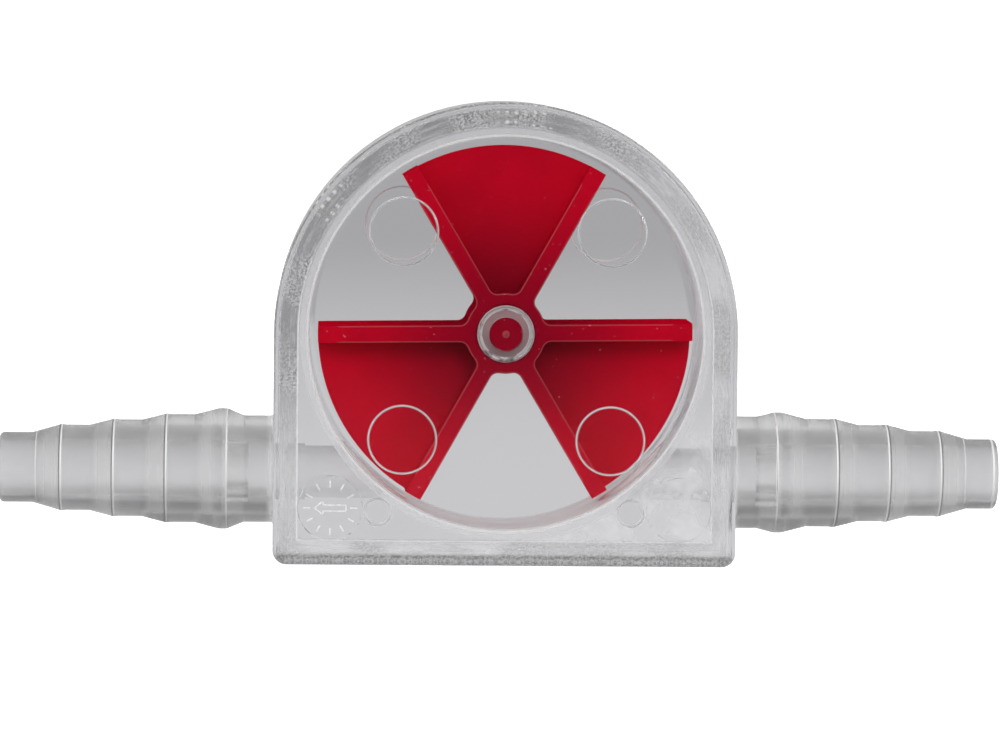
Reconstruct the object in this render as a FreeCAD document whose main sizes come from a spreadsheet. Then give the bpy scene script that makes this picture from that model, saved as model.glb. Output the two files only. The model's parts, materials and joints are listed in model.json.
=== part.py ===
import FreeCAD, Part
import math
import os
import Sketcher

# A hose-line flow indicator in clear plastic: a D-shaped housing with two stepped
# hose nozzles, a welded front cover, and a red paddle rotor that spins in the flow.
# X runs along the nozzles, -Y is the window side, Z is up. Millimetres throughout.

SIZES = {
    # rotor and the chamber round it
    "rotor_radius": 17.2,
    "tip_clearance": 0.85,
    "side_clearance": 1.35,
    "paddle_thickness": 1.6,
    "plate_thickness": 1.3,
    "relief_length": 2.0,
    "relief_depth": 0.5,
    "hub_fillet": 0.8,
    "paddle_rounding": 0.22,
    "rest_angle": 0.8,
    # bearings
    "journal_radius": 1.5,
    "journal_clearance": 0.06,
    "boss_wall": 0.74,
    "boss_length": 1.8,
    "boss_fillet": 0.5,
    "boss_rounding": 0.2,
    "boss_gap": 0.4,
    "boss_end_gap": 0.3,
    "bearing_seat": 0.6,
    "end_float": 0.15,
    "pip_radius": 0.35,
    "pip_height": 0.25,
    "hub_wall": 1.0,
    # walls and the welded lap joint
    "lip_wall": 0.85,
    "lip_rounding": 0.15,
    "seam_gap": 0.05,
    "skirt_width": 2.25,
    "skirt_depth": 0.5,
    "front_wall": 1.5,
    "rear_wall": 1.5,
    "corner_radius": 1.3,
    "inner_corner_radius": 0.6,
    "edge_fillet": 0.4,
    "floor_fillet": 0.5,
    # nozzles
    "nozzle_drop": 13.0,
    "bore_radius": 2.6,
    "port_step": 0.2,
    "port_length": 0.25,
    "tip_wall": 0.65,
    "tip_rounding": 0.45,
    "left_tip_land": 3.0,
    "right_tip_land": 2.7,
    "first_cone": 2.7,
    "first_rise": 0.78,
    "ring_step": 0.52,
    "ring_pitch": 4.85,
    "land_length": 2.6,
    "land_dip": 0.06,
    "dip_run": 0.4,
    "crest_length": 0.75,
    "crest_rounding": 0.5,
    "neck_fall": 1.55,
    "left_neck_step": 0.64,
    "right_neck_step": 0.39,
    "root_fillet": 0.35,
    "neck_margin": 0.1,
    "left_root": 5.05,
    "right_root": 4.75,
    "root_depth": 0.8,
    "flat_length": 2.0,
    "flat_height": 5.5,
    "flat_depth": 0.9,
    # moulding marks and pegs
    "cover_disc_radius": 3.17,
    "rear_disc_radius": 3.47,
    "disc_offset": 9.53,
    "disc_shift": 0.12,
    "cover_disc_drop": 0.19,
    "rear_disc_rise": 0.19,
    "disc_depth": 0.15,
    "mark_slope": 40,
    "insert_radius": 3.0,
    "insert_side": 15.95,
    "insert_drop": 15.95,
    "insert_depth": 0.1,
    "peg_radius": 1.2,
    "peg_clearance": 0.08,
    "peg_length": 1.4,
    "peg_side": 11.6,
    "peg_drop": 16.4,
}
RING_COUNT = 4
PADDLE_COUNT = 6
PLATE_COUNT = 3
FULL_TURN = 360
HALF_SECTOR = FULL_TURN / PADDLE_COUNT / 2

# How near two lengths must be to count as one, and the points looked at along an edge.
NEAR = 1e-3
EDGE_POINTS = 9

# The features that must take material away and those that must add it, and the share of a
# solid by which a cut may miss the volume that it and the solid have in common.
CUTS = ("PartDesign::Pocket", "PartDesign::Groove")
ADDITIONS = ("PartDesign::Pad", "PartDesign::Revolution", "PartDesign::PolarPattern")
VOLUME_SLACK = 1e-4

# The sketcher's own numbers for its origin and for the points of a line, arc or circle.
ORIGIN_INDEX = -1
START_INDEX = 1
END_INDEX = 2
CENTRE_INDEX = 3

# Sizes that follow from the cells, as expressions.
CHAMBER_RADIUS = "(sizes.rotor_radius + sizes.tip_clearance)"
LIP_RADIUS = f"({CHAMBER_RADIUS} + sizes.lip_wall)"
SKIRT_RADIUS = f"({LIP_RADIUS} + sizes.seam_gap)"
OUTER_RADIUS = f"({SKIRT_RADIUS} + sizes.skirt_width)"
PORT_RADIUS = "(sizes.bore_radius - sizes.port_step)"
BORE_END = f"({CHAMBER_RADIUS} + sizes.port_length)"
TIP_RADIUS = "(sizes.bore_radius + sizes.tip_wall)"
LAST_RING_RADIUS = f"({TIP_RADIUS} + sizes.first_rise + {RING_COUNT - 1} * sizes.ring_step)"
LEFT_NECK = f"({LAST_RING_RADIUS} - sizes.left_neck_step)"
RIGHT_NECK = f"({LAST_RING_RADIUS} - sizes.right_neck_step)"
JOINT_DEPTH = f"(max({LEFT_NECK}; {RIGHT_NECK}) + sizes.root_fillet + sizes.neck_margin)"
HALF_DEPTH = f"({JOINT_DEPTH} + sizes.skirt_depth)"
ROTOR_HALF = f"({HALF_DEPTH} - sizes.side_clearance)"
BEARING_RADIUS = "(sizes.journal_radius + sizes.journal_clearance)"
BOSS_RADIUS = f"({BEARING_RADIUS} + sizes.boss_wall)"
RECESS_RADIUS = f"({BOSS_RADIUS} + sizes.boss_gap)"
HUB_RADIUS = f"({RECESS_RADIUS} + sizes.hub_wall)"
BOSS_END = f"({HALF_DEPTH} - sizes.boss_length)"
RECESS_FLOOR = f"({BOSS_END} - sizes.boss_end_gap)"
PIP_END = f"({HALF_DEPTH} + sizes.bearing_seat - sizes.end_float)"
JOURNAL_END = f"({PIP_END} - sizes.pip_height)"
FRONT_FACE = f"({HALF_DEPTH} + sizes.front_wall)"
REAR_FACE = f"({HALF_DEPTH} + sizes.rear_wall)"
SIDE_SHIFT = "((sizes.left_root + sizes.left_tip_land - sizes.right_root - sizes.right_tip_land) / 2)"

doc = FreeCAD.newDocument("flow_indicator")
sheet = doc.addObject("Spreadsheet::Sheet", "sizes")
for row, (alias, size) in enumerate(SIZES.items(), start=1):
    sheet.set(f"A{row}", alias.replace("_", " "))
    sheet.set(f"B{row}", str(size))
    sheet.setAlias(f"B{row}", alias)
doc.recompute()


def number(expression):
    """The value of an expression over the cells."""
    return float(sheet.evalExpression(expression))


def minus(expression):
    """The same expression with its sign turned."""
    return f"-({expression})"


def origin_feature(body, role):
    """One of a body's own planes or axes."""
    return next(item for item in body.Origin.OriginFeatures if item.Role == role)


def new_body(label):
    """An empty body whose local origin is the middle of the chamber."""
    body = doc.addObject("PartDesign::Body", label)
    body.Label = label
    body.setExpression("Placement.Base.x", SIDE_SHIFT)
    body.setExpression("Placement.Base.z", OUTER_RADIUS)
    return body


def new_sketch(body, name, role, lift="0", rise="0"):
    """A sketch on one of the body's planes, moved along its normal and upwards."""
    sketch = body.newObject("Sketcher::SketchObject", name)
    sketch.AttachmentSupport = [(origin_feature(body, role), "")]
    sketch.MapMode = "FlatFace"
    sketch.setExpression("AttachmentOffset.Base.z", lift)
    sketch.setExpression("AttachmentOffset.Base.y", rise)
    return sketch


def bind(sketch, kind, where, expression):
    """A dimension of the sketch, driven by an expression."""
    index = sketch.addConstraint(Sketcher.Constraint(kind, *where, number(expression)))
    sketch.setExpression(f"Constraints[{index}]", expression)


def pin_point(sketch, geometry, position, across, up):
    """Fixes one point of the sketch at a pair of expressions."""
    bind(sketch, "DistanceX", (ORIGIN_INDEX, START_INDEX, geometry, position), across)
    bind(sketch, "DistanceY", (ORIGIN_INDEX, START_INDEX, geometry, position), up)


def arc_between(start, end, radius):
    """A counter-clockwise arc of less than half a turn."""
    chord = end - start
    middle = (start + end) * 0.5
    reach = math.sqrt(radius**2 - (chord.Length / 2) ** 2)
    left = FreeCAD.Vector(-chord.y, chord.x, 0).normalize()
    centre = middle + left * reach
    first = math.atan2(start.y - centre.y, start.x - centre.x)
    last = math.atan2(end.y - centre.y, end.x - centre.x)
    circle = Part.Circle(centre, FreeCAD.Vector(0, 0, 1), radius)
    return Part.ArcOfCircle(circle, first, last)


def draw_outline(sketch, points, arcs=None):
    """A closed counter-clockwise outline; arcs gives the radius of each rounded stretch."""
    arcs = arcs or {}
    first = sketch.GeometryCount
    count = len(points)
    spots = [FreeCAD.Vector(number(across), number(up), 0) for across, up in points]
    for index in range(count):
        start = spots[index]
        end = spots[(index + 1) % count]
        if index in arcs:
            sketch.addGeometry(arc_between(start, end, number(arcs[index])))
        else:
            sketch.addGeometry(Part.LineSegment(start, end))
    for index in range(count):
        following = first + (index + 1) % count
        joined = Sketcher.Constraint("Coincident", first + index, END_INDEX, following, START_INDEX)
        sketch.addConstraint(joined)
    for index, (across, up) in enumerate(points):
        pin_point(sketch, first + index, START_INDEX, across, up)
    for index, radius in arcs.items():
        bind(sketch, "Radius", (first + index,), radius)


def draw_circle(sketch, radius, across="0", up="0"):
    """A circle of the sketch."""
    centre = FreeCAD.Vector(number(across), number(up), 0)
    circle = Part.Circle(centre, FreeCAD.Vector(0, 0, 1), number(radius))
    geometry = sketch.addGeometry(circle)
    pin_point(sketch, geometry, CENTRE_INDEX, across, up)
    bind(sketch, "Radius", (geometry,), radius)


def draw_arch(sketch, radius, corner):
    """The D outline: half round on top, flat below with two small corners."""
    low = minus(radius)
    edge = f"({radius} - {corner})"
    points = [
        (radius, "0"),
        ("0", radius),
        (low, "0"),
        (low, minus(edge)),
        (minus(edge), low),
        (edge, low),
        (radius, minus(edge)),
    ]
    draw_outline(sketch, points, {0: radius, 1: radius, 3: corner, 5: corner})


def extrude(body, kind, sketch, name, length, turned=False, symmetric=False, slope="0"):
    """A pad or pocket of a sketch; a slope narrows it along its length."""
    feature = body.newObject(f"PartDesign::{kind}", name)
    feature.Profile = sketch
    feature.Reversed = turned
    if symmetric:
        feature.SideType = "Symmetric"
    feature.setExpression("Length", length)
    feature.setExpression("TaperAngle", minus(slope))
    doc.recompute()
    return feature


def cut_through(body, sketch, name, turned=False, symmetric=False):
    """A pocket of a sketch that goes right through the body."""
    pocket = body.newObject("PartDesign::Pocket", name)
    pocket.Profile = sketch
    pocket.Type = "ThroughAll"
    pocket.Reversed = turned
    if symmetric:
        pocket.SideType = "Symmetric"
    doc.recompute()
    return pocket


def spin(body, kind, sketch, name, axis):
    """A full turn of a sketch about one of its own axes, added or cut."""
    feature = body.newObject(f"PartDesign::{kind}", name)
    feature.Profile = sketch
    feature.ReferenceAxis = (sketch, [axis])
    feature.Angle = FULL_TURN
    doc.recompute()
    return feature


def repeat_round(body, original, name, count):
    """Equal copies of a feature round the rotor axis."""
    pattern = body.newObject("PartDesign::PolarPattern", name)
    pattern.Originals = [original]
    pattern.Axis = (origin_feature(body, "Y_Axis"), [""])
    pattern.Angle = FULL_TURN
    pattern.Occurrences = count
    body.Tip = pattern
    doc.recompute()
    return pattern


def round_edges(body, base, name, radius, wanted):
    """A fillet on the edges of a feature that pass a test."""
    names = []
    for index, edge in enumerate(base.Shape.Edges, start=1):
        if wanted(edge):
            names.append(f"Edge{index}")
    if not names:
        raise RuntimeError(f"{name}: no edge found")
    fillet = body.newObject("PartDesign::Fillet", name)
    fillet.Base = (base, names)
    fillet.setExpression("Radius", radius)
    doc.recompute()
    return fillet


def lies_at(edge, depth):
    """Whether an edge lies wholly in the plane at one depth of its body."""
    box = edge.BoundBox
    return abs(box.YMin - depth) < NEAR and abs(box.YMax - depth) < NEAR


def nearest_reach(edge):
    """The shortest distance of an edge's points from the rotor axis."""
    spots = edge.discretize(EDGE_POINTS)
    return min(math.hypot(spot.x, spot.z) for spot in spots)


def is_circle(edge, radius):
    """Whether an edge is round with one radius."""
    return isinstance(edge.Curve, Part.Circle) and abs(edge.Curve.Radius - radius) < NEAR


def draw_discs(sketch, radius, rise):
    """Four equal circles on a square near the axis, moved a little aside and up."""
    for across in ("sizes.disc_shift + sizes.disc_offset", "sizes.disc_shift - sizes.disc_offset"):
        for up in (f"{rise} + sizes.disc_offset", f"{rise} - sizes.disc_offset"):
            draw_circle(sketch, radius, across, up)


def draw_pegs(sketch, radius):
    """The two peg circles in the lower corners."""
    for across in ("sizes.peg_side", "-sizes.peg_side"):
        draw_circle(sketch, radius, across, "-sizes.peg_drop")


def ring_radius(ring):
    """Crest radius of a ring, counted from the tip."""
    return f"({TIP_RADIUS} + sizes.first_rise + {ring} * sizes.ring_step)"


def add_nozzle(body, name, side, root, neck, tip_land):
    """One stepped nozzle, turned about its own axis, on the left or right side."""
    sketch = new_sketch(body, f"{name}_profile", "XZ_Plane", "0", "-sizes.nozzle_drop")
    last = f"({OUTER_RADIUS} + {root})"
    first = f"({last} + {RING_COUNT - 1} * sizes.ring_pitch)"
    tip = f"({first} + sizes.first_cone + {tip_land})"
    inside = f"({OUTER_RADIUS} - sizes.root_depth)"
    profile = [
        (inside, "0"),
        (tip, "0"),
        (tip, f"({TIP_RADIUS} - sizes.tip_rounding)"),
        (f"({tip} - sizes.tip_rounding)", TIP_RADIUS),
        (f"({tip} - {tip_land})", TIP_RADIUS),
    ]
    for ring in range(RING_COUNT - 1):
        corner = f"({first} - {ring} * sizes.ring_pitch)"
        land = f"({ring_radius(ring)} - sizes.land_dip)"
        profile.append((corner, ring_radius(ring)))
        profile.append((f"({corner} - sizes.dip_run)", land))
        profile.append((f"({corner} - sizes.land_length)", land))
    profile.append((last, LAST_RING_RADIUS))
    profile.append((f"({last} - sizes.crest_length)", LAST_RING_RADIUS))
    profile.append((f"({last} - sizes.crest_length - sizes.neck_fall)", neck))
    profile.append((inside, neck))
    tip_arc = 2
    if side < 0:
        # mirrored and walked the other way round, so that it stays counter-clockwise
        profile = [(minus(across), up) for across, up in reversed(profile)]
        tip_arc = len(profile) - tip_arc - 2
    draw_outline(sketch, profile, {tip_arc: "sizes.tip_rounding"})
    nozzle = spin(body, "Revolution", sketch, name, "H_Axis")
    body_reach = number(OUTER_RADIUS)
    crest_reaches = [number(ring_radius(ring)) for ring in range(RING_COUNT)]
    crests = round_edges(
        body,
        nozzle,
        f"{name}_crests",
        "sizes.crest_rounding",
        lambda edge: side * edge.CenterOfMass.x > body_reach
        and any(is_circle(edge, reach) for reach in crest_reaches),
    )
    face = side * body_reach
    neck_reach = number(neck)
    return round_edges(
        body,
        crests,
        f"{name}_root",
        "sizes.root_fillet",
        lambda edge: abs(edge.CenterOfMass.x - face) < NEAR and is_circle(edge, neck_reach),
    )


def add_flat(body, name, side, root, neck):
    """The small rectangular flat on the window side of a neck."""
    outer = f"({OUTER_RADIUS} + {root} - sizes.crest_length)"
    inner = f"({outer} - sizes.flat_length)"
    low = "(-sizes.nozzle_drop - sizes.flat_height / 2)"
    high = "(-sizes.nozzle_drop + sizes.flat_height / 2)"
    sketch = new_sketch(body, f"{name}_sketch", "XZ_Plane", LAST_RING_RADIUS)
    if side > 0:
        left, right = inner, outer
    else:
        left, right = minus(outer), minus(inner)
    draw_outline(sketch, [(left, low), (right, low), (right, high), (left, high)])
    depth = f"({LAST_RING_RADIUS} - {neck} + sizes.flat_depth)"
    return extrude(body, "Pocket", sketch, name, depth)


def add_bore(body, name, side):
    """The wide bore of a nozzle, from its tip to a step beside the chamber."""
    stop = BORE_END if side > 0 else minus(BORE_END)
    sketch = new_sketch(body, f"{name}_sketch", "YZ_Plane", stop, "-sizes.nozzle_drop")
    draw_circle(sketch, "sizes.bore_radius")
    return cut_through(body, sketch, name, turned=side > 0)


def add_bearing(body, name, side):
    """A bearing boss on a chamber wall, with its blind bore; side is -1 for the window."""
    wall = minus(HALF_DEPTH) if side > 0 else HALF_DEPTH
    end = minus(BOSS_END) if side > 0 else BOSS_END
    boss = new_sketch(body, f"{name}_sketch", "XZ_Plane", wall)
    draw_circle(boss, BOSS_RADIUS)
    extrude(body, "Pad", boss, name, "sizes.boss_length", turned=side < 0)
    bore = new_sketch(body, f"{name}_bore_sketch", "XZ_Plane", end)
    draw_circle(bore, BEARING_RADIUS)
    length = "sizes.boss_length + sizes.bearing_seat"
    seat = extrude(body, "Pocket", bore, f"{name}_bore", length, turned=side < 0)
    boss_reach = number(BOSS_RADIUS)
    wall_depth = side * number(HALF_DEPTH)
    end_depth = side * number(BOSS_END)
    root = round_edges(
        body,
        seat,
        f"{name}_root",
        "sizes.boss_fillet",
        lambda edge: lies_at(edge, wall_depth) and is_circle(edge, boss_reach),
    )
    return round_edges(
        body,
        root,
        f"{name}_end",
        "sizes.boss_rounding",
        lambda edge: lies_at(edge, end_depth) and is_circle(edge, boss_reach),
    )


def check_steps(body):
    """Raises unless every feature leaves one whole solid and changes it by what it should."""
    before = None
    for feature in body.Group:
        if not feature.isDerivedFrom("PartDesign::Feature"):
            continue
        shape = feature.Shape
        if shape.isNull() or not shape.isValid() or len(shape.Solids) != 1:
            raise RuntimeError(f"{body.Label} {feature.Name}: the solid is not whole")
        if before is not None and feature.TypeId in CUTS:
            cutter = feature.AddSubShape.copy()
            cutter.Placement = feature.Placement.multiply(cutter.Placement)
            lost = before.Volume - shape.Volume
            shared = before.common(cutter).Volume
            if lost <= 0 or abs(lost - shared) > VOLUME_SLACK * before.Volume:
                raise RuntimeError(f"{feature.Name}: took {lost:.2f} mm3 of {shared:.2f} mm3")
        if before is not None and feature.TypeId in ADDITIONS and shape.Volume <= before.Volume:
            raise RuntimeError(f"{feature.Name}: added nothing")
        before = shape


# Rear housing: the D block with its raised inner lip, chamber, nozzles and ducts.
housing = new_body("rear_housing")
block_sketch = new_sketch(housing, "block_sketch", "XZ_Plane", minus(REAR_FACE))
draw_arch(block_sketch, OUTER_RADIUS, "sizes.corner_radius")
block = extrude(housing, "Pad", block_sketch, "block", f"{REAR_FACE} + {JOINT_DEPTH}")
rear_depth = number(REAR_FACE)
round_edges(housing, block, "rear_edges", "sizes.edge_fillet", lambda edge: lies_at(edge, rear_depth))
lip_sketch = new_sketch(housing, "lip_sketch", "XZ_Plane", JOINT_DEPTH)
draw_arch(lip_sketch, LIP_RADIUS, "sizes.inner_corner_radius")
extrude(housing, "Pad", lip_sketch, "lip", "sizes.skirt_depth - sizes.seam_gap")
add_nozzle(housing, "left_nozzle", -1, "sizes.left_root", LEFT_NECK, "sizes.left_tip_land")
add_nozzle(housing, "right_nozzle", 1, "sizes.right_root", RIGHT_NECK, "sizes.right_tip_land")
add_flat(housing, "left_flat", -1, "sizes.left_root", LEFT_NECK)
add_flat(housing, "right_flat", 1, "sizes.right_root", RIGHT_NECK)
chamber_sketch = new_sketch(housing, "chamber_sketch", "XZ_Plane", HALF_DEPTH)
draw_circle(chamber_sketch, CHAMBER_RADIUS)
chamber = extrude(housing, "Pocket", chamber_sketch, "chamber", f"2 * {HALF_DEPTH}")
floor_depth = number(HALF_DEPTH)
mouth_depth = number("sizes.seam_gap") - floor_depth
chamber_reach = number(CHAMBER_RADIUS)
floor_edge = round_edges(
    housing,
    chamber,
    "chamber_floor_edge",
    "sizes.floor_fillet",
    lambda edge: lies_at(edge, floor_depth) and is_circle(edge, chamber_reach),
)
round_edges(
    housing,
    floor_edge,
    "chamber_mouth_edge",
    "sizes.lip_rounding",
    lambda edge: lies_at(edge, mouth_depth) and is_circle(edge, chamber_reach),
)
port_sketch = new_sketch(housing, "port_sketch", "YZ_Plane", "0", "-sizes.nozzle_drop")
draw_circle(port_sketch, PORT_RADIUS)
cut_through(housing, port_sketch, "ports", symmetric=True)
add_bore(housing, "left_bore", -1)
add_bore(housing, "right_bore", 1)
add_bearing(housing, "rear_bearing", 1)
inner_disc_sketch = new_sketch(housing, "inner_disc_sketch", "XZ_Plane", minus(HALF_DEPTH))
draw_discs(inner_disc_sketch, "sizes.rear_disc_radius", "sizes.rear_disc_rise")
extrude(housing, "Pocket", inner_disc_sketch, "inner_discs", "sizes.disc_depth", slope="sizes.mark_slope")
peg_hole_sketch = new_sketch(housing, "peg_hole_sketch", "XZ_Plane", HALF_DEPTH)
draw_pegs(peg_hole_sketch, "(sizes.peg_radius + sizes.peg_clearance)")
extrude(housing, "Pocket", peg_hole_sketch, "peg_holes", "sizes.peg_length + sizes.peg_clearance")

# Front cover: the D window with its skirt, bearing and pegs.
cover = new_body("front_cover")
plate_sketch = new_sketch(cover, "window_sketch", "XZ_Plane", f"{JOINT_DEPTH} + sizes.seam_gap")
draw_arch(plate_sketch, OUTER_RADIUS, "sizes.corner_radius")
window_depth = f"{FRONT_FACE} - {JOINT_DEPTH} - sizes.seam_gap"
window = extrude(cover, "Pad", plate_sketch, "window", window_depth)
front_depth = -number(FRONT_FACE)
round_edges(cover, window, "front_edges", "sizes.edge_fillet", lambda edge: lies_at(edge, front_depth))
skirt_sketch = new_sketch(cover, "skirt_sketch", "XZ_Plane", JOINT_DEPTH)
draw_arch(skirt_sketch, SKIRT_RADIUS, "sizes.inner_corner_radius")
extrude(cover, "Pocket", skirt_sketch, "skirt", "sizes.skirt_depth", turned=True)
add_bearing(cover, "front_bearing", -1)
cover_disc_sketch = new_sketch(cover, "cover_disc_sketch", "XZ_Plane", HALF_DEPTH)
draw_discs(cover_disc_sketch, "sizes.cover_disc_radius", "-sizes.cover_disc_drop")
extrude(
    cover,
    "Pocket",
    cover_disc_sketch,
    "cover_discs",
    "sizes.disc_depth",
    turned=True,
    slope="sizes.mark_slope",
)
insert_sketch = new_sketch(cover, "insert_sketch", "XZ_Plane", FRONT_FACE)
for insert_side in ("sizes.insert_side", "-sizes.insert_side"):
    draw_circle(insert_sketch, "sizes.insert_radius", insert_side, "-sizes.insert_drop")
extrude(cover, "Pocket", insert_sketch, "insert_discs", "sizes.insert_depth", slope="sizes.mark_slope")
peg_sketch = new_sketch(cover, "peg_sketch", "XZ_Plane", HALF_DEPTH)
draw_pegs(peg_sketch, "sizes.peg_radius")
extrude(cover, "Pad", peg_sketch, "pegs", "sizes.peg_length", turned=True)

# Rotor: hub, six paddles, three sector plates, and a journal at each end.
rotor = new_body("rotor")
rotor.setExpression("Placement.Rotation.Angle", "sizes.rest_angle")
rotor.Placement.Rotation.Axis = FreeCAD.Vector(0, -1, 0)
hub_sketch = new_sketch(rotor, "hub_sketch", "XZ_Plane")
draw_circle(hub_sketch, HUB_RADIUS)
extrude(rotor, "Pad", hub_sketch, "hub", f"2 * {ROTOR_HALF}", symmetric=True)
paddle_sketch = new_sketch(rotor, "paddle_sketch", "XZ_Plane")
half_paddle = "(sizes.paddle_thickness / 2)"
paddle_end = f"sqrt(pow(sizes.rotor_radius; 2) - pow({half_paddle}; 2))"
paddle_points = [
    ("0", minus(half_paddle)),
    (paddle_end, minus(half_paddle)),
    (paddle_end, half_paddle),
    ("0", half_paddle),
]
draw_outline(paddle_sketch, paddle_points, {1: "sizes.rotor_radius"})
paddle = extrude(rotor, "Pad", paddle_sketch, "paddle", f"2 * {ROTOR_HALF}", symmetric=True)
paddles = repeat_round(rotor, paddle, "paddles", PADDLE_COUNT)
hub_reach = number(HUB_RADIUS)
rotor_half = number(ROTOR_HALF)
round_edges(
    rotor,
    paddles,
    "hub_fillets",
    "sizes.hub_fillet",
    lambda edge: abs(nearest_reach(edge) - hub_reach) < NEAR and abs(edge.Length - 2 * rotor_half) < NEAR,
)
sector_sketch = new_sketch(rotor, "sector_sketch", "XZ_Plane")
sector_side = f"sizes.rotor_radius * sin({HALF_SECTOR})"
sector_top = f"sizes.rotor_radius * cos({HALF_SECTOR})"
sector_points = [("0", "0"), (sector_side, sector_top), (minus(sector_side), sector_top)]
draw_outline(sector_sketch, sector_points, {1: "sizes.rotor_radius"})
sector = extrude(rotor, "Pad", sector_sketch, "sector", "sizes.plate_thickness", symmetric=True)
repeat_round(rotor, sector, "sectors", PLATE_COUNT)
relief_sketch = new_sketch(rotor, "relief_sketch", "XY_Plane")
relief_start = "(sizes.rotor_radius - sizes.relief_length)"
relief_past = "(sizes.rotor_radius + sizes.relief_length)"
relief_drop = f"({ROTOR_HALF} - 2 * sizes.relief_depth)"
relief_points = [(relief_start, ROTOR_HALF), (relief_past, relief_drop), (relief_past, ROTOR_HALF)]
draw_outline(relief_sketch, relief_points)
rear_relief_points = [(across, minus(up)) for across, up in reversed(relief_points)]
draw_outline(relief_sketch, rear_relief_points)
spin(rotor, "Groove", relief_sketch, "paddle_relief", "V_Axis")
recess_sketch = new_sketch(rotor, "recess_sketch", "XY_Plane")
recess_points = [
    ("0", RECESS_FLOOR),
    (RECESS_RADIUS, RECESS_FLOOR),
    (RECESS_RADIUS, ROTOR_HALF),
    ("0", ROTOR_HALF),
]
draw_outline(recess_sketch, recess_points)
rear_recess_points = [(across, minus(up)) for across, up in reversed(recess_points)]
draw_outline(recess_sketch, rear_recess_points)
spin(rotor, "Groove", recess_sketch, "hub_recess", "V_Axis")
journal_sketch = new_sketch(rotor, "journal_sketch", "XY_Plane")
journal_points = [
    ("0", minus(PIP_END)),
    ("sizes.pip_radius", minus(JOURNAL_END)),
    ("sizes.journal_radius", minus(JOURNAL_END)),
    ("sizes.journal_radius", JOURNAL_END),
    ("sizes.pip_radius", JOURNAL_END),
    ("0", PIP_END),
]
draw_outline(journal_sketch, journal_points)
journals = spin(rotor, "Revolution", journal_sketch, "journals", "V_Axis")
# The rounding follows every cut: a cut across rounded paddle edges can lose the solid.
recess_reach = number(RECESS_RADIUS)
relief_reach = number(relief_start)
round_edges(
    rotor,
    journals,
    "paddle_edges",
    "sizes.paddle_rounding",
    lambda edge: (lies_at(edge, rotor_half) or lies_at(edge, -rotor_half))
    and not is_circle(edge, recess_reach)
    and not is_circle(edge, relief_reach),
)

doc.recompute()
for item in doc.Objects:
    if "Invalid" in item.State or "Error" in item.State:
        raise RuntimeError(f"{item.Name}: {item.State}")
for body in (housing, cover, rotor):
    check_steps(body)
os.makedirs("parts", exist_ok=True)
for body in (housing, cover, rotor):
    shape = body.Shape
    if shape.isNull() or not shape.isValid() or len(shape.Solids) != 1:
        raise RuntimeError(f"{body.Label}: the solid is not whole")
    shape.exportStep(f"parts/{body.Label}.step")
    print(body.Label, round(shape.Volume, 1), shape.optimalBoundingBox(False, False))
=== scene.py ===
"""Looks of a clear hose-line flow indicator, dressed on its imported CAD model."""

import json
import math
from types import SimpleNamespace

import bmesh
import bpy
from bpy.props import FloatProperty, FloatVectorProperty, IntProperty, PointerProperty
from mathutils import Matrix, Vector


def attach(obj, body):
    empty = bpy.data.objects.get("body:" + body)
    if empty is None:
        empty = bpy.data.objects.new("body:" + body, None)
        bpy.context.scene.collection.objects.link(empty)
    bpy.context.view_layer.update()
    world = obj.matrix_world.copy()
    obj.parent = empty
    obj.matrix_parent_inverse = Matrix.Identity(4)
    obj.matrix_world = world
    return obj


bl_info = {
    "name": "Flow indicator looks",
    "version": (1, 0, 0),
    "blender": (4, 5, 0),
    "location": "3D View > Sidebar > Flow indicator",
    "description": "Finishes a clear flow indicator with a red paddle rotor and sets a plain studio",
    "category": "Object",
}

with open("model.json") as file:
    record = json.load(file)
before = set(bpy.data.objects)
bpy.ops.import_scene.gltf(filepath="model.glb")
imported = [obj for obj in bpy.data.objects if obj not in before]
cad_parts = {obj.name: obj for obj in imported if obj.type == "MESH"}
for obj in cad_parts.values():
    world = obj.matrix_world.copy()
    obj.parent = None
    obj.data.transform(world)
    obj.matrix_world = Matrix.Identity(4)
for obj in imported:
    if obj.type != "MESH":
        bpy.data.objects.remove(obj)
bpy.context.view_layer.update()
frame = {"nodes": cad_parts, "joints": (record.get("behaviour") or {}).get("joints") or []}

MM = 0.001
MM_PER_METRE = 1000.0

# The rotor axis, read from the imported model.
AXIS_POINT = Vector(frame["joints"][0]["pos_m"])

# The Mix node's colour sockets, which share their names with its other kinds.
MIX_SHARE = 0
MIX_FIRST = 6
MIX_SECOND = 7
MIX_RESULT = 2

# Settings that every colour, and every share from 0 to 1, has in common.
COLOUR = {"subtype": "COLOR", "size": 4, "min": 0.0, "max": 1.0}
SHARE = {"subtype": "FACTOR", "min": 0.0, "max": 1.0}

# The values below place the finishes. Unless they say otherwise, they are in millimetres from the
# rotor axis and from the middle plane. A band is its middle, half its width and its soft edge. A range
# is the value where a finish starts to come or go, and the value where that ends.

# The depth where the inner faces end and the outer faces start.
OUTER_FACES = (6.2, 6.4)

# The weld: half height and soft edge of its level, then where its ledge starts, past its inside, and
# stops, past its outside. Its white line, a painted highlight, runs just past its inside and fades
# out up the arch. The base's rim lies under it, darkened with painted shade.
WELD_LEVEL = (0.1, 0.2)
LEDGE_START = (-0.3, 0.2)
LEDGE_STOP = (-0.7, -0.4)
WELD_HIGHLIGHT = (0.05, 0.03, 0.12)
WELD_HIGHLIGHT_FADE = (0.0, 10.0)
WELD_HIGHLIGHT_LEAST = 0.2
BASE_RIM = (20.1, 20.5)

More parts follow.
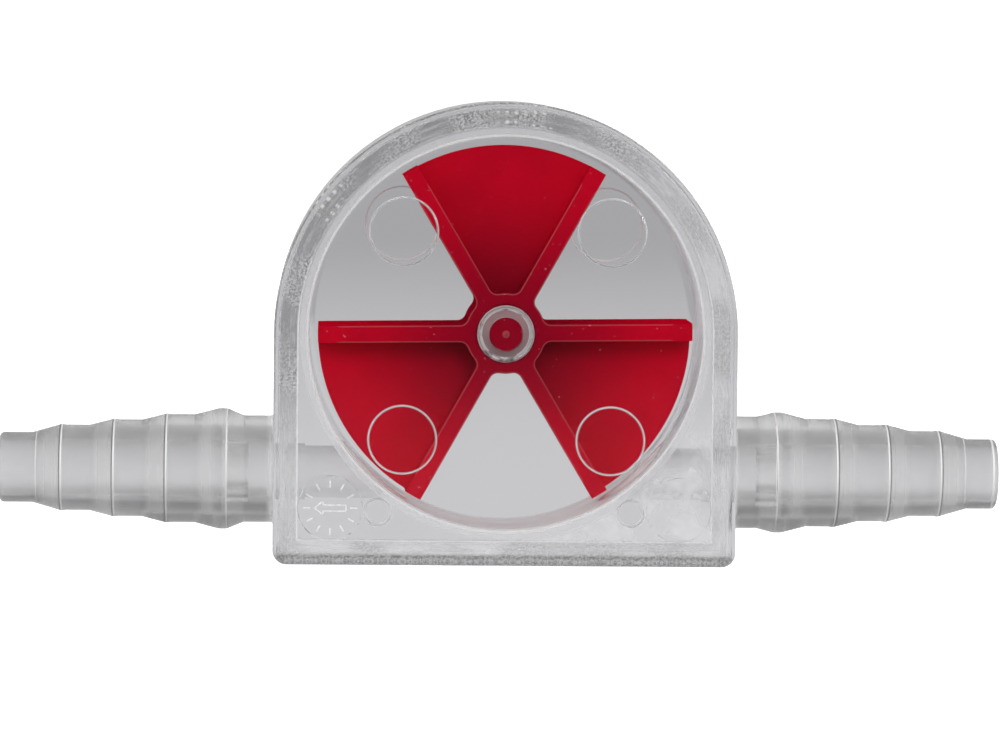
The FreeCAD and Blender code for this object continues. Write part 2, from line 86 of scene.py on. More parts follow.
# The weld's streaks run along it, and its grain lies in patches.
STREAKS_PER_MM = 2.4
STREAKS_PER_RADIAN = 5.0
STREAK_NOISE = {"scale": 1.0, "detail": 3.0, "roughness": 0.6}
STREAK_RANGE = (0.36, 0.62)
STREAK_LEAST = 0.5
PATCH_NOISE = {"scale": 170.0, "detail": 1.0, "roughness": 0.5}
PATCH_RANGE = (0.42, 0.62)
CRINKLE_NOISE = {"scale": 4600.0, "detail": 2.0, "roughness": 0.6}
CRINKLE_RANGE = (0.4, 0.6)

# The weld is lighter on the right and low down. Its dark greys are shares of the dark grey that is
# set below, and a pair is for the upper left and for the lighter places.
LIGHTER_SIDE = (2.0, 20.0)
LIGHTER_DROP = (2.0, 12.0)
STREAK_GREYS = (0.5, 6.5)
PIT_GREYS = (1.5, 4.5)
# the dark grains of the base's rim are painted shade as well as grain
BASE_SHADE_PIT = 2.0

# The weld's pale greys: its streaks at the upper left, its grains, and the grains of the base's rim.
STREAK_PALE = 0.5
GRAIN_PALE = 0.75
BASE_PALE = 0.5

# Beads of the weld: two rows, in two runs round the axis in radians, and the bead within its pitch.
BEAD_PITCH = 0.042
BEAD_ROWS = ((19.35, 0.1, 0.2), (20.35, 0.15, 0.25))
BEAD_RUNS = ((1.47, 0.13, 0.04), (2.5, 0.07, 0.05))
BEAD_DOT = (0.5, 0.05, 0.3)

# The chamber's lip and wall: a painted highlight line and a band of painted light at the lip, and on
# the wall pale frost that is painted light, fullest at its bottom.
LIP_LEVEL = (-6.1, 0.1, 0.1)
LIP_HIGHLIGHT = (18.15, 0.07, 0.08)
LIP_LIGHT_BAND = (18.55, 0.2, 0.15)
CHAMBER_WALL = (18.05, 0.05, 0.2)
WALL_DROP = (9.0, 15.0)
WALL_LEAST = 0.25

# The cloudy lower corners, from the lip to the weld, most of all on the right.
CORNER_NOISE = {"scale": 280.0, "detail": 2.0, "roughness": 0.5}
CORNER_RANGE = (0.3, 0.7)
CORNER_START = (18.7, 19.2)
CORNER_STOP = (0.0, 0.1)
CORNER_DROP = (6.0, 11.0)
CORNER_SIDE = (-5.0, 5.0)
CORNER_LEAST = 0.05

# The bearing bosses, whose pale frost is partly painted highlight, and the painted glints round their
# outer edge, fullest on the right.
BOSS_INSIDE = (1.4, 1.6)
BOSS_OUTSIDE = (2.2, 2.45)
BOSS_HIGHLIGHT = (2.3, 0.1, 0.1)
BOSS_LIT_SIDE = (0.9, 2.0)
BOSS_LIT = 0.9
GLINTS_PER_RADIAN = 1.6
GLINTS_PER_MM = 0.8
GLINTS_PER_DEPTH = 0.3
GLINT_NOISE = {"scale": 1.0, "detail": 2.0, "roughness": 0.6}
GLINT_RANGE = (0.38, 0.52)

# The nozzles: their axis below the rotor's, their start, the wall of their bores, and the strips of
# painted shade in the bores, fuller below the axis.
NOZZLE_DROP = 13.0
NOZZLE_START = (21.3, 22.0)
BORE_WALL = (2.65, 2.8)
STRIP_RANGE = (1.9, 2.4)
STRIP_FADE = (-1.0, 1.0)
STRIP_LEAST = 0.5

# The nozzle rings. Their middle lies a little left of the rotor axis, and they are measured outwards
# from the largest crest. Each crest has its cone, a painted highlight line, brightest above the axis,
# and a painted shade line beside it.
CREST_SHIFT = 0.15
LARGEST_CREST = 26.1
RING_PITCH = 4.85
RINGS_START = (1.0, 1.2)
RINGS_STOP = (3.3 * RING_PITCH, 3.4 * RING_PITCH)
CREST_HIGHLIGHT = (-0.06, 0.03, 0.07)
LARGEST_CREST_HIGHLIGHT = (-0.75, 0.03, 0.08)
CREST_LIT = (-3.0, 2.5)
CREST_LEAST = 0.35
CREST_SHADE_LINE = (0.1, 0.03, 0.06)
CREST_GLOW = (0.0, 0.1, 0.8)
CONE_START = (0.0, 0.8)
CONE_STOP = (1.4, 2.2)
FIRST_CONE = (-0.5, 0.5)

# The nozzle tips: the thin painted highlight where the last cone ends, and one on the rim of the right tip.
TIP_HIGHLIGHT = (16.82, 0.02, 0.08)
TIP_HIGHLIGHT_SHARE = 0.7
TIP_RIM = (45.42, 0.06, 0.08)

# The flats of the nozzle necks, and the painted shade under the wide rings.
NECK_FLAT = (24.75, 0.95, 0.1)
FLAT_DEPTH = (3.0, 3.6)
BELLY_DROP = (3.5, 4.2)
BELLY_STOP = (RING_PITCH, 2.5 * RING_PITCH)
BELLY_SHADE_SHARE = 0.4

# The four disc marks of each moulding, and the two pegs.
DISC_SHIFT = 0.12
DISC_OFFSET = 9.53
DISC_RISE = {"rear_housing": 0.19, "front_cover": -0.19}
DISC_RING = {"rear_housing": (3.4, 0.07, 0.06), "front_cover": (3.1, 0.07, 0.06)}
DISC_FACE = (6.1, 6.16)
PEG_SIDE = 11.6
PEG_DROP = 16.4
PEG_RING = (1.2, 0.1, 0.15)
PEG_DEPTH = (-5.4, 0.6, 0.2)

# The whole of the clear plastic: its ripples, its frost, and the bounces after which caught light ends.
RIPPLE_NOISE = {"scale": 160.0, "detail": 2.0, "roughness": 0.4}
FROST_ROUGHNESS = 0.6
LAST_BOUNCES = (4.5, 5.5)

# The rotor: deep near its hub as painted shade, with clouds, specks, a fine grain and edges paler as
# painted highlight. Its faces are told apart by how squarely they face the window, from 0 to 1.
HUB_RANGE = (2.0, 16.0)
CLOUD_NOISE = {"scale": 220.0, "detail": 4.0, "roughness": 0.6}
CLOUD_RANGE = (0.4, 0.8)
CLOUD_SHARE = 0.3
SPECK_NOISE = {"scale": 3200.0, "detail": 0.0, "roughness": 0.5}
SPECK_RANGE = (0.8, 0.84)
SPECK_SHARE = 0.45
FRONT_RANGE = (0.3, 0.8)
EDGE_START = (0.3, 0.6)
EDGE_STOP = (0.85, 0.97)
EDGE_HIGHLIGHT_SHARE = 0.24
GRAIN_NOISE = {"scale": 2600.0, "detail": 2.0, "roughness": 0.5}
GRAIN_STRENGTH = 0.25
GRAIN_HEIGHT = 0.01 * MM
GRAIN_ROUGHNESS = 0.2
SIDE_ROUGHNESS = 0.8

# The dial: its middle, the depth of its floor, which is the floor of the mark, and of its raised lines.
# Those lines have at least a share of their haze, and more of it where they are worn.
DIAL_SIDE = -15.95
DIAL_DROP = 15.95
DIAL_FLOOR = -7.545
DIAL_TOP = -7.64
DIAL_WHITE = 0.95
DIAL_ROUGHNESS = 0.4
WEAR_NOISE = {"scale": 1500.0, "detail": 2.0, "roughness": 0.5}
WEAR_RANGE = (0.3, 0.7)
WEAR_ROUGHNESS = 0.3
LEAST_HAZE = 0.6
WORN_HAZE = 0.8

# The stage, in metres. The floor's light changes from near to far behind the object, and to the front
# light before it. The world's light changes to the overhead light with height, from 0 to 1.
FLOOR_RADIUS = 30.0
FLOOR_CORNERS = 96
FLOOR_ROUGHNESS = 0.9
FLOOR_GLOSS = 0.1
FAR_FLOOR = (0.05, 0.9)
FRONT_FLOOR = (0.06, 0.4)
OVERHEAD = (0.1, 0.9)
BACKDROP = 1.05

# Soft lights: place, width and height in metres, power in watts, and whether the plastic mirrors them.
SOFTBOXES = {
    "left_softbox": ((-0.6, -0.4, 0.35), (0.3, 0.5), 1.05, True),
    "right_softbox": ((0.65, -0.35, 0.3), (0.3, 0.5), 0.88, True),
    "top_softbox": ((0.0, -0.1, 0.7), (0.6, 0.35), 0.3, True),
    "front_softbox": ((0.05, -0.8, 0.32), (0.5, 0.3), 2.6, False),
    "rear_softbox": ((-0.15, 0.7, 0.5), (0.5, 0.3), 1.6, False),
}
LIGHT_AIM = (0.0, 0.0, 0.02)

# The camera's sensor in millimetres, and how near and far it sees in metres.
SENSOR_WIDTH = 36.0
NEAREST = 0.01
FARTHEST = 100.0


class Wire:
    """One output of a node, which takes part in plain arithmetic: each operation adds a Math node."""

    def __init__(self, graph, socket):
        self.graph = graph
        self.socket = socket

    def other(self, name):
        """Another output of the same node."""
        return Wire(self.graph, self.socket.node.outputs[name])

    def math(self, operation, *values):
        """A Math node on these values, in their order."""
        return self.graph.node("Math", {"operation": operation}, dict(enumerate(values)))

    def __add__(self, value):
        return self.math("ADD", self, value)

    def __radd__(self, value):
        return self.math("ADD", value, self)

    def __sub__(self, value):
        return self.math("SUBTRACT", self, value)

    def __rsub__(self, value):
        return self.math("SUBTRACT", value, self)

    def __mul__(self, value):
        return self.math("MULTIPLY", self, value)

    def __rmul__(self, value):
        return self.math("MULTIPLY", value, self)

    def __abs__(self):
        return self.math("ABSOLUTE", self)

    def root(self):
        return self.math("SQRT", self)

    def fraction(self):
        return self.math("FRACT", self)

    def angle(self, across):
        """The angle whose rise is this and whose run is across, in radians."""
        return self.math("ARCTAN2", self, across)

    def at_least(self, value):
        return self.math("MAXIMUM", self, value)

    def at_most(self, value):
        return self.math("MINIMUM", self, value)

    def ramp(self, low, high):
        """Rises smoothly from 0 at low to 1 at high."""
        ends = {"From Min": low, "From Max": high}
        return self.graph.node("MapRange", {"interpolation_type": "SMOOTHSTEP"}, {"Value": self, **ends})


class Graph:
    """The nodes of one material or world."""

    def __init__(self, owner):
        owner.use_nodes = True
        self.tree = owner.node_tree
        self.tree.nodes.clear()

    def node(self, kind, settings=None, sockets=None, out=0):
        """A node of this type: its settings come first, then the values or links of its sockets."""
        made = self.tree.nodes.new(f"ShaderNode{kind}")
        for name, value in (settings or {}).items():
            setattr(made, name, value)
        for name, value in (sockets or {}).items():
            if isinstance(value, Wire):
                self.tree.links.new(value.socket, made.inputs[name])
            else:
                made.inputs[name].default_value = value
        return Wire(self, made.outputs[out]) if made.outputs else None

    def mix(self, share, first, second):
        """A colour between two, by a share from 0 to 1."""
        sockets = {MIX_SHARE: share, MIX_FIRST: first, MIX_SECOND: second}
        return self.node("Mix", {"data_type": "RGBA"}, sockets, MIX_RESULT)

    def mix_shaders(self, share, first, second):
        """A shader between two, by a share from 0 to 1."""
        return self.node("MixShader", None, {0: share, 1: first, 2: second})

    def place(self):
        """The place on the object, in metres."""
        return self.node("TexCoord", None, None, "Object")

    def parts(self, vector):
        """The first part of a vector, whose others are Y and Z."""
        return self.node("SeparateXYZ", None, {"Vector": vector})

    def vector(self, first, second, third):
        """A vector made of three parts."""
        return self.node("CombineXYZ", None, {"X": first, "Y": second, "Z": third})

    def noise(self, place, scale, detail, roughness):
        """Cloudy variation from 0 to 1."""
        sockets = {"Vector": place, "Scale": scale, "Detail": detail, "Roughness": roughness}
        return self.node("TexNoise", {"noise_dimensions": "3D"}, sockets)

    def bump(self, height, strength, distance, normal=None):
        """A bumped normal from a height."""
        sockets = {"Height": height, "Strength": strength, "Distance": distance}
        if normal is not None:
            sockets["Normal"] = normal
        return self.node("Bump", None, sockets)

    def light_path(self, kind):
        """What is known of the ray that meets the surface."""
        return self.node("LightPath", None, None, kind)

    def finish(self, shader):
        """The material's surface."""
        self.node("OutputMaterial", None, {"Surface": shader})


class Spot:
    """Where a point of the clear plastic lies, in millimetres from the rotor axis and the middle plane."""

    def __init__(self, graph):
        self.place = graph.place()
        parts = graph.parts(self.place)
        self.across = (parts - AXIS_POINT.x) * MM_PER_METRE
        self.depth = parts.other("Y") * MM_PER_METRE
        self.up = (parts.other("Z") - AXIS_POINT.z) * MM_PER_METRE
        self.down = 0.0 - self.up
        self.turn = self.up.angle(self.across)
        self.from_axis = distance(self.across, self.up)
        # the reach follows the D outline: round above the axis and square below it
        self.reach = distance(self.across, self.up.at_least(0.0)).at_least(self.down)
        self.inside = 1.0 - abs(self.depth).ramp(*OUTER_FACES)


class FlowClearPlastic(bpy.types.PropertyGroup):
    """The clear plastic of the housing and the window."""

    tint: FloatVectorProperty(
        name="Tint",
        description="Colour that one wall of the plastic lets through",
        default=(0.845, 0.845, 0.858, 1.0),
        **COLOUR,
    )
    ior: FloatProperty(
        name="Bending",
        description="Refraction index of the plastic",
        default=1.57,
    )
    roughness: FloatProperty(
        name="Roughness",
        description="Roughness of the polished faces",
        default=0.03,
        **SHARE,
    )
    gloss: FloatVectorProperty(
        name="Gloss",
        description="Strength of the mirror image in the faces",
        default=(0.15, 0.15, 0.15, 1.0),
        **COLOUR,
    )
    shadow_share: FloatProperty(
        name="Shadow light",
        description="Share of the light that one face lets through to what lies behind",
        default=0.93,
        **SHARE,
    )
    ripple: FloatProperty(
        name="Ripple",
        description="Height of the flow ripples left by moulding",
        unit="LENGTH",
        default=0.004 * MM,
    )
    weld_inner: FloatProperty(
        name="Weld inside",
        description="Distance from the rotor axis to the inside of the welded ledge",
        unit="LENGTH",
        default=18.95 * MM,
    )
    weld_outer: FloatProperty(
        name="Weld outside",
        description="Distance from the rotor axis to the outside of the welded ledge",
        unit="LENGTH",
        default=21.2 * MM,
    )
    weld_depth: FloatProperty(
        name="Weld depth",
        description="Depth of the welded ledge in front of the middle plane",
        unit="LENGTH",
        default=5.675 * MM,
    )
    weld_crinkle: FloatProperty(
        name="Weld crinkle",
        description="Height of the fine crinkles in the weld",
        unit="LENGTH",
        default=0.06 * MM,
    )
    weld_roughness: FloatProperty(
        name="Weld roughness",
        description="Roughness of the frosted weld",
        default=0.22,
        **SHARE,
    )
    boss_roughness: FloatProperty(
        name="Boss roughness",
        description="Added roughness of the bearing bosses",
        default=0.2,
        **SHARE,
    )
    nozzle_roughness: FloatProperty(
        name="Nozzle roughness",
        description="Added roughness of the nozzles",
        default=0.2,
        **SHARE,
    )
    bore_roughness: FloatProperty(
        name="Bore roughness",
        description="Added roughness of the bores",
        default=0.15,
        **SHARE,
    )
    frost: FloatVectorProperty(
        name="Frost",
        description="Colour of the frosted places",
        default=(0.86, 0.86, 0.87, 1.0),
        **COLOUR,
    )
    # the white lines are painted highlights, and the chamber wall's grey is painted light
    line_white: FloatProperty(
        name="Line white",
        description="Grey of the white lines, and of the ducts, corners and chamber wall",
        default=0.95,
        **SHARE,
    )
    nozzle_grey: FloatProperty(
        name="Nozzle grey",
        description="Grey of the nozzles' frost",
        default=0.72,
        **SHARE,
    )
    # the dark nozzle lines and the base's rim in this grey are painted shade
    weld_and_shade_dark: FloatProperty(
        name="Weld dark",
        description="Dark grey that the weld's greys follow, and grey of the dark nozzle lines",
        default=0.12,
        **SHARE,
    )
    # on the base's rim this frost carries painted shade
    weld_haze: FloatProperty(
        name="Weld haze",
        description="Share of frost in the weld and the base's rim",
        default=0.5,
        **SHARE,
    )
    # the white lines are painted highlights; the beads are the weld's own
    line_haze: FloatProperty(
        name="Line haze",
        description="Share of frost in the white lines and the beads",
        default=0.75,
        **SHARE,
    )
    # this frost round the lip is painted light
    lip_haze: FloatProperty(
        name="Lip haze",
        description="Share of frost round the chamber's lip",
        default=0.3,
        **SHARE,
    )
    # the wall's pale frost is painted light
    wall_haze: FloatProperty(
        name="Wall haze",
        description="Share of frost in the chamber wall",
        default=0.5,
        **SHARE,
    )
    corner_haze: FloatProperty(
        name="Corner haze",
        description="Share of frost in the lower corners",
        default=0.45,
        **SHARE,
    )
    # the bosses' pale frost is partly painted highlight
    boss_haze: FloatProperty(
        name="Boss haze",
        description="Share of frost in the bearing bosses",
        default=0.32,
        **SHARE,
    )
    mark_haze: FloatProperty(
        name="Mark haze",
        description="Share of frost round the disc marks and the pegs",
        default=0.75,
        **SHARE,
    )
    nozzle_haze: FloatProperty(
        name="Nozzle haze",
        description="Share of frost in the nozzles",
        default=0.12,
        **SHARE,
    )
    cone_haze: FloatProperty(
        name="Cone haze",
        description="Added share of frost in the nozzle cones",
        default=0.18,
        **SHARE,
    )
    glow_haze: FloatProperty(
        name="Crest glow",
        description="Added share of frost beside the crests",
        default=0.12,
        **SHARE,
    )
    # the dark crest lines are painted shade
    dark_haze: FloatProperty(
        name="Crest dark",
        description="Share of the dark crest lines",
        default=0.5,
        **SHARE,
    )
    flat_haze: FloatProperty(
        name="Flat haze",
        description="Added share of frost on the neck flats",
        default=0.15,
        **SHARE,
    )
    duct_haze: FloatProperty(
        name="Duct haze",
        description="Share of frost in the housing's ducts",
        default=0.7,
        **SHARE,
    )
    strip_haze: FloatProperty(
        name="Bore shade",
        description="Share of the dark strips in the bores and, in part, of the dark undersides",
        default=0.55,
        **SHARE,
    )


class FlowRotorPlastic(bpy.types.PropertyGroup):
    """The red plastic of the rotor."""

    bright: FloatVectorProperty(
        name="Bright red",
        description="Main colour of the rotor",
        default=(0.73, 0.0, 0.02, 1.0),
        **COLOUR,
    )
    # near the hub this deep red is painted shade; in the clouds it is the plastic's own tone
    deep: FloatVectorProperty(
        name="Deep red",
        description="Colour of the rotor near its hub and in its darker clouds",
        default=(0.36, 0.0, 0.016, 1.0),
        **COLOUR,
    )
    # the specks are dust; the same pale red paints a highlight along the rotor's edges, which are not worn
    speck: FloatVectorProperty(
        name="Specks",
        description="Colour of the small dust specks and of the worn edges",
        default=(0.85, 0.3, 0.32, 1.0),
        **COLOUR,
    )
    roughness: FloatProperty(
        name="Roughness",
        description="Roughness of the moulded faces",
        default=0.32,
        **SHARE,
    )
    gloss: FloatProperty(
        name="Gloss",
        description="Strength of the mirror image in the faces",
        default=0.05,
        **SHARE,
    )


class FlowDial(bpy.types.PropertyGroup):
    """The raised dial that moulders set to the month of making."""

    ticks: IntProperty(
        name="Ticks",
        description="Number of ticks round the dial",
        default=12,
    )
    tick_inner: FloatProperty(
        name="Tick inside",
        description="Distance from the dial's middle to the inside of a tick",
        unit="LENGTH",
        default=1.85 * MM,
    )
    tick_outer: FloatProperty(
        name="Tick outside",
        description="Distance from the dial's middle to the outside of a tick",
        unit="LENGTH",
        default=2.5 * MM,
    )
    tick_width: FloatProperty(
        name="Tick width",
        description="Width of a tick",
        unit="LENGTH",
        default=0.14 * MM,
    )
    arrow_half: FloatProperty(
        name="Arrow half",
        description="Half the length of the arrow",
        unit="LENGTH",
        default=1.45 * MM,
    )
    head_length: FloatProperty(
        name="Head length",
        description="Length of the arrow's head",
        unit="LENGTH",
        default=0.8 * MM,
    )
    head_half: FloatProperty(
        name="Head half",
        description="Half the width of the arrow's head",
        unit="LENGTH",
        default=0.6 * MM,
    )
    shaft_half: FloatProperty(
        name="Shaft half",
        description="Half the width of the arrow's shaft",
        unit="LENGTH",
        default=0.28 * MM,
    )
    line: FloatProperty(
        name="Line",
        description="Width of the arrow's raised outline",
        unit="LENGTH",
        default=0.12 * MM,
    )
    haze: FloatProperty(
        name="Haze",
        description="Share of frost in the raised lines",
        default=0.55,
        **SHARE,
    )


class FlowStage(bpy.types.PropertyGroup):
    """Camera, floor and studio light."""

    distance: FloatProperty(
        name="Camera distance",
        description="Distance from the camera to the point that it looks at",
        unit="LENGTH",
        default=0.478,
    )
    focal: FloatProperty(
        name="Lens",
        description="Focal length",
        unit="CAMERA",
        default=185.6,
    )
    turn: FloatProperty(
        name="Turn",
        description="How far the camera stands to the left of the window's middle",
        subtype="ANGLE",
        default=math.radians(1.9),
    )
    rise: FloatProperty(
        name="Rise",
        description="How far the camera looks down",
        subtype="ANGLE",
        default=math.radians(3.5),
    )
    roll: FloatProperty(
        name="Roll",
        description="How far the camera leans",
        subtype="ANGLE",
        default=math.radians(0.58),
    )
    target_height: FloatProperty(
        name="Aim height",
        description="Height of the point that the camera looks at",
        unit="LENGTH",
        default=17.07 * MM,
    )
    floor_colour: FloatVectorProperty(
        name="Floor",
        description="Colour of the floor",
        default=(0.9, 0.9, 0.9, 1.0),
        **COLOUR,
    )
    floor_glow: FloatProperty(
        name="Floor glow",
        description="Even light that the floor sheet gives off",
        default=0.8,
    )
    near_light: FloatProperty(
        name="Near light",
        description="Light that the plastic gets from the floor close by",
        default=0.8,
    )
    far_light: FloatProperty(
        name="Far light",
        description="Light that the plastic gets from behind and from the sides",
        default=0.54,
    )
    front_light: FloatProperty(
        name="Front light",
        description="Light that the plastic mirrors from the floor in front",
        default=0.1,
    )
    overhead_light: FloatProperty(
        name="Overhead light",
        description="Light that the plastic gets from above",
        default=0.3,
    )


class FLOWIND_OT_clear_plastic(bpy.types.Operator):
    """Gives the housing and the window their clear plastic"""

    bl_idname = "flowind.clear_plastic"
    bl_label = "Clear plastic"

    def execute(self, context):
        for node in ("rear_housing", "front_cover"):
            coat(node, clear_plastic(node, context.scene.flow_clear))
        return {"FINISHED"}


class FLOWIND_OT_rotor_plastic(bpy.types.Operator):
    """Gives the rotor its red plastic"""

    bl_idname = "flowind.rotor_plastic"
    bl_label = "Rotor plastic"

    def execute(self, context):
        coat("rotor", rotor_plastic("rotor_plastic", context.scene.flow_rotor))
        return {"FINISHED"}


class FLOWIND_OT_date_dial(bpy.types.Operator):
    """Builds the raised dial in the window's lower left mark"""

    bl_idname = "flowind.date_dial"
    bl_label = "Date dial"

    def execute(self, context):
        build_dial(context, context.scene.flow_dial)
        return {"FINISHED"}


class FLOWIND_OT_stage(bpy.types.Operator):
    """Sets the floor, the lights and the camera"""

    bl_idname = "flowind.stage"
    bl_label = "Stage"

    def execute(self, context):
        stage = context.scene.flow_stage
        build_floor(context, stage)
        build_world(context, stage)
        build_lights(context)
        build_camera(context, stage)
        return {"FINISHED"}


class FLOWIND_PT_looks(bpy.types.Panel):
    """Lists the finishes and the stage"""

    bl_label = "Flow indicator"
    bl_space_type = "VIEW_3D"
    bl_region_type = "UI"
    bl_category = "Flow indicator"

    def draw(self, context):
        for step in STEPS:
            self.layout.operator(step.bl_idname)
        for group in GROUPS:
            settings = getattr(context.scene, group)
            box = self.layout.box()
            for name in settings.bl_rna.properties.keys():
                if name not in ("rna_type", "name"):
                    box.prop(settings, name)


def coat(node, material):
    """Puts one material on a whole CAD node."""
    slots = frame["nodes"][node].data.materials
    slots.clear()
    slots.append(material)


def distance(first, second):
    """Length across the two legs of a right angle."""
    return (first * first + second * second).root()


def band(value, middle, half, soft):
    """1 within half of the middle, falling to 0 over a soft edge."""
    return 1.0 - abs(value - middle).ramp(half, half + soft)


def partly(least, mask):
    """A share that rises from the least to 1 with a mask."""
    return least + (1.0 - least) * mask


def grey(level):
    """A neutral colour."""
    return (level, level, level, 1.0)


def weld_masks(graph, spot, look):
    """The welded ledge: grainy, with streaks and beads along it and a painted highlight line on its inside.
    """
    past_inner = spot.reach - look.weld_inner * MM_PER_METRE
    past_outer = spot.reach - look.weld_outer * MM_PER_METRE
    level = band(spot.depth, -look.weld_depth * MM_PER_METRE, *WELD_LEVEL)
    ledge = level * past_inner.ramp(*LEDGE_START) * (1.0 - past_outer.ramp(*LEDGE_STOP))
    along = graph.vector(spot.reach * STREAKS_PER_MM, spot.turn * STREAKS_PER_RADIAN, spot.depth)
    streak = graph.noise(along, **STREAK_NOISE).ramp(*STREAK_RANGE)
    highlight_share = partly(WELD_HIGHLIGHT_LEAST, 1.0 - spot.up.ramp(*WELD_HIGHLIGHT_FADE))
    bead = band((spot.turn * (1.0 / BEAD_PITCH)).fraction(), *BEAD_DOT)
    rows = sum(band(spot.reach, *row) for row in BEAD_ROWS)
    runs = sum(band(spot.turn, *run) for run in BEAD_RUNS)
    return SimpleNamespace(
        ledge=ledge,
        streak=streak,
        frosted=ledge * partly(STREAK_LEAST, streak),
        # the white line along the weld's inside is a painted highlight, fullest low down
        line=level * band(past_inner, *WELD_HIGHLIGHT) * highlight_share,
        # the base's rim under the weld is darkened as painted shade, with a grain
        base_rim=level * spot.down.ramp(*BASE_RIM),
        beads=bead * rows * runs * level * streak,
        patch=graph.noise(spot.place, **PATCH_NOISE).ramp(*PATCH_RANGE),
        crinkle=graph.noise(spot.place, **CRINKLE_NOISE),
    )


def chamber_masks(graph, spot, look):
    """The chamber's lip, wall and bearing bosses, and the cloudy corners below it."""
    lip_level = band(spot.depth, *LIP_LEVEL)
    wall = band(spot.from_axis, *CHAMBER_WALL) * spot.inside
    boss = spot.from_axis.ramp(*BOSS_INSIDE) * (1.0 - spot.from_axis.ramp(*BOSS_OUTSIDE)) * spot.inside
    around = graph.vector(
        spot.turn * GLINTS_PER_RADIAN,
        spot.from_axis * GLINTS_PER_MM,
        spot.depth * GLINTS_PER_DEPTH,
    )
    glint = graph.noise(around, **GLINT_NOISE).ramp(*GLINT_RANGE)
    boss_lit = glint.at_least(BOSS_LIT * spot.across.ramp(*BOSS_LIT_SIDE))
    past_weld = spot.reach - look.weld_inner * MM_PER_METRE
    corner = spot.from_axis.ramp(*CORNER_START) * (1.0 - past_weld.ramp(*CORNER_STOP)) * lip_level
    corner = corner * spot.down.ramp(*CORNER_DROP) * partly(CORNER_LEAST, spot.across.ramp(*CORNER_SIDE))
    return SimpleNamespace(
        # a painted highlight line on the lip and a paler band of painted light beside it
        lip_highlight=band(spot.from_axis, *LIP_HIGHLIGHT) * lip_level,
        lip_light_band=band(spot.from_axis, *LIP_LIGHT_BAND) * lip_level,
        # the wall's pale frost is painted light, fullest at the bottom
        wall=wall * partly(WALL_LEAST, spot.down.ramp(*WALL_DROP)),
        boss=boss,
        # painted glints round the boss's outer edge, fullest on the right
        boss_highlight=band(spot.from_axis, *BOSS_HIGHLIGHT) * spot.inside * boss_lit,
        corner=corner * graph.noise(spot.place, **CORNER_NOISE).ramp(*CORNER_RANGE),
    )


def nozzle_masks(spot):
    """The nozzles: bores, necks and cones, a painted highlight and a painted shade line at each crest."""
    above = spot.up + NOZZLE_DROP
    bore = 1.0 - distance(spot.depth, above).ramp(*BORE_WALL)
    nozzle = abs(spot.across).ramp(*NOZZLE_START)
    skin = nozzle * (1.0 - bore)
    side = abs(spot.across + CREST_SHIFT)
    out = side - LARGEST_CREST
    # measured from the nearest crest: half a pitch is added first and taken off again
    past_crest = ((out * (1.0 / RING_PITCH) + 0.5).fraction() - 0.5) * RING_PITCH
    upper_rings = out.ramp(*RINGS_START) * (1.0 - out.ramp(*RINGS_STOP)) * skin
    tip = TIP_HIGHLIGHT_SHARE * band(out, *TIP_HIGHLIGHT) + band(spot.across, *TIP_RIM)
    # painted highlight lines at the crests, the largest crest and the tips
    crests = band(past_crest, *CREST_HIGHLIGHT) * upper_rings
    crests = crests + (band(out, *LARGEST_CREST_HIGHLIGHT) + tip) * skin
    cone = past_crest.ramp(*CONE_START) * (1.0 - past_crest.ramp(*CONE_STOP)) * skin
    # strips of painted shade at the top and bottom of the nozzle bores
    strip = bore * nozzle * abs(above).ramp(*STRIP_RANGE)
    return SimpleNamespace(
        nozzle=nozzle,
        skin=skin,
        bore=bore,
        duct=bore * (1.0 - nozzle),
        # the highlights are brightest above the nozzle axis; the dark line beside each crest is painted
        # shade
        crest=crests * partly(CREST_LEAST, above.ramp(*CREST_LIT)),
        crest_shade_line=band(past_crest, *CREST_SHADE_LINE) * upper_rings,
        crest_glow=band(past_crest, *CREST_GLOW) * upper_rings,
        cone=cone * out.ramp(*FIRST_CONE),
        strip=strip * partly(STRIP_LEAST, 1.0 - above.ramp(*STRIP_FADE)),
        flat=band(side, *NECK_FLAT) * abs(spot.depth).ramp(*FLAT_DEPTH),
        # painted shade under the wide rings
        belly_shade=(0.0 - above).ramp(*BELLY_DROP) * skin * (1.0 - out.ramp(*BELLY_STOP)),
    )


def mark_mask(spot, node):
    """The rings round the disc marks and round the pegs."""
    disc_across = abs(spot.across - DISC_SHIFT) - DISC_OFFSET
    disc_up = abs(spot.up - DISC_RISE[node]) - DISC_OFFSET
    disc_face = abs(spot.depth).ramp(*DISC_FACE) * spot.inside
    disc_ring = band(distance(disc_across, disc_up), *DISC_RING[node]) * disc_face
    from_peg = distance(abs(spot.across) - PEG_SIDE, spot.up + PEG_DROP)
    return disc_ring + band(from_peg, *PEG_RING) * band(spot.depth, *PEG_DEPTH)


